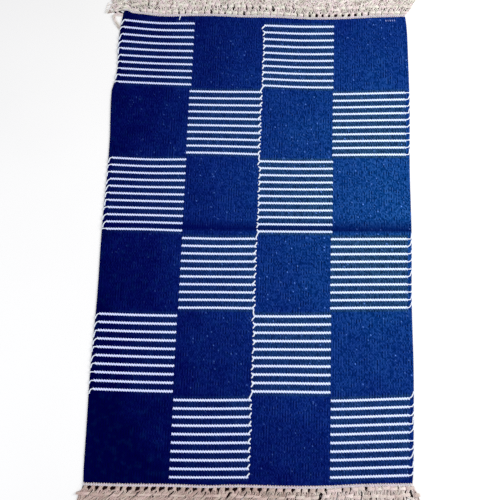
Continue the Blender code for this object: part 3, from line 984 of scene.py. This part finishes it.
class FringeField:
    # places beside one end of the cloth: bunch number along it, then distance out along leaning strands
    def __init__(self, end, chance):
        self.count = end["bunches"]
        self.bunches = np.linspace(-1, self.count, fringe["fieldSteps"] * (self.count + 1) + 1)
        self.outs = np.linspace(*fringe["fieldOuts"])
        warps = leftWarp + (self.bunches + 0.5) * clothWarps / self.count
        slope = fringe["fieldSlope"]
        before, here, after = (clothPlace(warps + step, end["pick"]) for step in (-slope, 0, slope))
        along = after - before
        along /= np.linalg.norm(along, axis=1, keepdims=True)
        out = np.column_stack([-along[:, 1], along[:, 0]]) * end["outward"]
        share = (self.bunches + 0.5) / self.count
        lean = end["middle"] + end["swing"] * np.sin(2 * math.pi * end["waves"] * share + end["phase"])
        fan = 0
        for side, degrees, reach in end["fans"]:
            near = np.exp(-(np.clip(np.abs(share - side), 0, 1) * cutWidth / reach) ** 2)
            lean = lean * (1 - near)
            fan = fan + degrees * near
        self.fanned = np.abs(fan) / 90
        turnStart, turnEnd = fringe["turn"]
        middle = (self.outs[1:] + self.outs[:-1]) / 2
        early = np.clip(middle / turnStart, 0, 1)
        late = np.sin(0.5 * math.pi * np.clip((middle - turnStart) / (turnEnd - turnStart), 0, 1))
        leaning = fringe["earlyTurn"] * early + (1 - fringe["earlyTurn"]) * late
        fanning = np.clip(middle / fringe["fanTurn"], 0, 1)
        turn = np.radians(lean)[:, None] * leaning + np.radians(fan)[:, None] * fanning
        way = out[:, None] * np.cos(turn)[..., None] + along[:, None] * np.sin(turn)[..., None]
        steps = way * np.diff(self.outs)[:, None]
        start = here + out * self.outs[0]
        self.table = np.concatenate([start[:, None], start[:, None] + np.cumsum(steps, axis=1)], axis=1)

        # each row's knots: place sideways, place out and width
        self.knots = []
        for row, (out, gather) in enumerate(zip(end["knotRows"], end["gathers"])):
            number = self.count + row
            sideways, outward = (chance.normal(0, size, number) for size in fringe["knotStray"][row])
            shares, *widths = np.array(gather).T
            least, most = (np.interp(np.linspace(0, 1, number), shares, width) for width in widths)
            wide = np.minimum(1, chance.uniform(least, most))
            self.knots.append((np.arange(number) - 0.5 * row + sideways, out + outward, wide))

    def place(self, bunch, out):
        bunch, out = np.broadcast_arrays(bunch, out)
        i = np.interp(bunch, self.bunches, np.arange(len(self.bunches)))
        j = np.interp(out, self.outs, np.arange(len(self.outs)))
        a = np.minimum(i.astype(int), len(self.bunches) - 2)
        b = np.minimum(j.astype(int), len(self.outs) - 2)
        u, v = (i - a)[..., None], (j - b)[..., None]
        near = (1 - v) * self.table[a, b] + v * self.table[a, b + 1]
        far = (1 - v) * self.table[a + 1, b] + v * self.table[a + 1, b + 1]
        return (1 - u) * near + u * far

    def path(self, bunch, out, lift):
        plan = self.place(bunch, out)
        return np.concatenate([plan, np.broadcast_to(lift, plan.shape[:-1])[..., None]], axis=-1)

    def smoothPaths(self, stations, steps, margin):
        # stations hold, for all strands at once: out along the strand, sideways in bunches, height
        table = np.array([np.broadcast_arrays(*station) for station in stations]).transpose(1, 2, 0)
        table[1] = np.clip(table[1], -margin, self.count - 1 + margin)
        numbers = np.arange(len(stations))
        outs, sideways, lifts = smoothAlong(numbers, table, np.linspace(0, numbers[-1], steps))
        return self.path(sideways, outs, lifts)


def besideWay(way):
    # to the left of each step's way, in plan
    return np.stack([-way[..., 1], way[..., 0]], axis=-1) / np.linalg.norm(way, axis=-1, keepdims=True)


def strandPaths(field, end, chance):
    # each strand is gathered in a knot, goes to a knot of the second row, and then lies loose
    each = fringe["strandsPerBunch"]
    bunch = np.repeat(np.arange(field.count), each)
    count = len(bunch)
    slotNumber = np.tile(np.arange(each), field.count)
    share = (slotNumber + 0.5) / each - 0.5
    side = np.where(share + chance.normal(0, fringe["sideSpread"], count) < 0, -1, 1)
    centre, knot, wide = (values[bunch] for values in field.knots[0])
    centre2, knot2, wide2 = (values[bunch + (side > 0)] for values in field.knots[1])
    slot = centre + share * wide
    slot2 = centre2 + wide2 * (share - side * fringe["halfShift"])
    slot2 += chance.normal(0, fringe["sideSpread"], count)
    leader = np.arange(count) // end["lock"] * end["lock"]
    stray = chance.normal(0, fringe["spread"] / 2, (3, count))[:, leader]
    stray[2] += chance.normal(0, fringe["ownSpread"], count) * (end["lock"] > 1)
    length = fringe["length"] * (1 + chance.uniform(-1, 1, count) * fringe["lengthSpread"])
    length = length * np.interp(np.interp(bunch, field.bunches, field.fanned), *fringe["fannedLengths"])
    knot2 = np.minimum(knot2, length - fringe["looseLength"])
    low, high = fringe["levels"]
    level = np.where(slotNumber % 2 == 1, high, low)
    loose = np.where(chance.uniform(0, 1, count) < 0.5, high, low)
    kink = chance.normal(0, fringe["kinks"] * end["kinks"], (7, count))[:, leader]
    tip = slot2 + stray[0] + stray[1] * 0.7 + stray[2] * 0.3
    between, beyond = knot2 - knot, length - knot2
    stations = [
        # from the cloth into the first knot
        (0, bunch + share * 0.98, 2.0 * mm),
        (3.5 * mm, bunch + share * 0.96, 2.3 * mm),
        (knot - 4.5 * mm, bunch * 0.3 + centre * 0.7 + share * (wide * 0.8 + 0.18), level * 0.8),
        (knot, slot, level),
        # on to the second knot
        (knot + 2.5 * mm, slot + share * 0.1, level),
        (knot + between * 0.33, slot * 0.42 + slot2 * 0.58 + kink[0], level),
        (knot + between * 0.65, slot * 0.12 + slot2 * 0.88 + kink[1], level),
        (knot2, slot2, level),
        # and loose
        (knot2 + 4 * mm, slot2 + stray[0] * 0.15, level),
        (knot2 + beyond * 0.3, slot2 + stray[0] * 0.6 + kink[2] * 1.5, (level + loose) / 2),
        (knot2 + beyond * 0.5, slot2 + stray[0] * 0.8 + stray[1] * 0.3 + kink[3] * 2, loose),
        (knot2 + beyond * 0.7, slot2 + stray[0] * 0.9 + stray[1] * 0.5 + kink[4] * 2, loose),
        (knot2 + beyond * 0.85, tip + kink[5] * 2, loose * 0.7),
        (length, tip, fringe["tipLevel"]),
    ]
    paths = field.smoothPaths(stations, fringe["steps"], fringe["margin"])

    # the yarn keeps its crimp from the weave
    gone = np.linspace(0, fringe["length"], fringe["steps"])
    lengths, phases = (chance.uniform(*fringe[name], (count, 1)) for name in ("crimpLengths", "crimpPhases"))
    wave = np.sin(2 * math.pi * (gone / lengths + phases))
    wave = wave * np.interp(gone, *fringe["crimpStart"]) * fringe["crimp"] * end["kinks"]
    paths[..., :2] += besideWay(np.gradient(paths[..., :2], axis=1)) * wave[..., None]
    return paths


def lowPaths(field, chance):
    # strands that pass straight under the knots
    each = fringe["lowStrands"]
    bunch = np.repeat(np.arange(field.count), each)
    count = len(bunch)
    place = bunch + (np.tile(np.arange(each), field.count) + 0.5) / each - 0.5
    shares = np.array(fringe["lowSways"])[:, None]
    sways = np.cumsum(chance.normal(0, fringe["lowSway"], (len(shares), count)), axis=0) * shares
    sways = np.concatenate([np.zeros((1, count)), sways])
    stations = [(out, place + sway, fringe["lowLevel"]) for out, sway in zip(fringe["lowOuts"], sways)]
    return field.smoothPaths(stations, fringe["lowSteps"], fringe["lowMargin"])


def routePaths(end, name, heights, steps, chance):
    # strands side by side along their routes beside the cloth's corner, some a little shorter
    paths = []
    for route, strands, width in end[name]:
        route = np.array(route) * mm + clothPlace(leftWarp, end["pick"])
        for i in range(strands):
            at = np.linspace(0, (len(route) - 1) * chance.uniform(*fringe["routeLengths"]), steps)
            place = smoothAlong(np.arange(len(route)), route.T, at).T
            wave = np.sin(at * chance.uniform(*fringe["routeWaves"]) + chance.uniform(0, 6))
            wave = wave * np.minimum(1, at / 2) * fringe["routeWave"]
            off = ((i + 0.5) / strands - 0.5 + wave) * width * mm
            place = place + besideWay(np.gradient(place, axis=0)) * off[:, None]
            paths.append(np.column_stack([place, np.full(steps, heights[i % len(heights)])]))
    return np.array(paths)


def knotPaths(field, row):
    # a cord wound round each bunch
    centres, outs, wide = (values[:, None] for values in field.knots[row])
    turns = np.linspace(0, 2 * math.pi * fringe["knotTurns"], fringe["knotSteps"])
    phase = turns + fringe["knotPhase"] * centres
    high = fringe["knotHighs"][row]
    sideways = centres + (wide * 0.5 + fringe["knotOver"]) * np.cos(phase)
    outs = outs + fringe["knotPitch"] * (turns / (2 * math.pi) - fringe["knotTurns"] / 2)
    lifts = fringe["knotLift"] + fringe["knotCord"] + high * (1 + np.sin(phase))
    return field.path(sideways, outs, lifts)


def bunchOf(field, warps):
    return (warps - leftWarp) / clothWarps * field.count - 0.5


def headingPaths(field):
    # two cords twined over and under the warps
    inset = fringe["headingInset"]
    steps = int(clothWarps / fringe["headingTwist"] * fringe["headingSteps"])
    warps = np.linspace(leftWarp + inset, rightWarp - inset, steps)
    outward, upward = fringe["headingReach"]
    cords = []
    for start in (0, math.pi):
        turn = 2 * math.pi * warps / fringe["headingTwist"] + start
        out = fringe["headingAt"] + outward * np.cos(turn)
        cords.append(field.path(bunchOf(field, warps), out, fringe["headingLift"] + upward * np.sin(turn)))
    return np.array(cords)


def warpEndPaths(field, chance):
    # every second warp shows over the last pick before it goes under the heading
    warps = np.arange(math.ceil(leftWarp), math.floor(rightWarp), 2) + 0.5
    outs, lifts = np.array(fringe["warpEnds"]).T * mm
    outs = outs + chance.normal(0, fringe["warpEndStray"], (len(warps), 1))
    return field.path(np.broadcast_to(bunchOf(field, warps)[:, None], outs.shape), outs, lifts)


def makeFringe(name, end, headingLook):
    chance = np.random.default_rng(end["seed"])
    field = FringeField(end, chance)
    yarnLook, shadedLook = yarnFinish(end["yarn"]), yarnFinish("shadedYarn")

    def addPiece(part, made, look):
        points, faces, corners = made
        return makePiece(name + part, points, faces, look, name, "yarn", corners)

    steps = fringe["steps"]
    strands = strandPaths(field, end, chance)
    if "slipped" in end:
        slipped = routePaths(end, "slipped", fringe["slippedLevels"], steps, chance)
        strands = np.concatenate([strands, slipped])
    lastSteps, tipShare = fringe["taper"]
    taper = np.interp(np.arange(steps), (0, steps - lastSteps, steps - 1), (1, 1, tipShare))
    radii = taper * chance.uniform(*fringe["strandWidths"], (len(strands), 1))
    strands[..., 2] = np.maximum(strands[..., 2], radii * 1.2)  # none goes into the floor
    made = tubes(strands, radii, fringe["sides"], up, fringe["strandTwist"])
    pieces = [addPiece("_strands", made, yarnLook)]

    low = lowPaths(field, chance)
    if "shadingEnds" in end:
        shadingEnds = routePaths(end, "shadingEnds", (fringe["lowLevel"],), fringe["lowSteps"], chance)
        low = np.concatenate([low, shadingEnds])
    # painted shade: the under-strands take the dark shadedYarn
    made = tubes(low, fringe["lowWidth"], fringe["lowSides"], up)
    pieces.append(addPiece("_under_strands", made, shadedLook))

    knots, cord, sides = [], fringe["knotCord"], fringe["sides"]
    for row, out in enumerate(end["knotRows"]):
        numbers = np.arange(field.count + row) - 0.5 * row
        outward = field.place(numbers, out + mm) - field.place(numbers, out)
        outward = np.column_stack([outward, np.zeros(len(numbers))])[:, None]
        knots.append(tubes(knotPaths(field, row), cord, sides, outward, fringe["knotTwist"]))
    pieces.append(addPiece("_knots", together(knots), yarnLook))

    across = field.place(field.count - 0.5, 0.0) - field.place(-0.5, 0.0)
    along = np.array([across[0], across[1], 0.0])
    outward = np.array([-across[1], across[0], 0.0]) * end["outward"]
    cords = tubes(headingPaths(field), fringe["headingCord"], sides, up + outward * 0.01)
    warpEnds = tubes(warpEndPaths(field, chance), fringe["warpEndWidth"], fringe["lowSides"], along)
    pieces.append(addPiece("_heading", together([cords, warpEnds]), headingLook))
    return pieces


headingYarn = yarnFinish("headingYarn")
fringePieces = {name: makeFringe(name, end, headingYarn) for name, end in fringeEnds.items()}
print("fringes knotted")
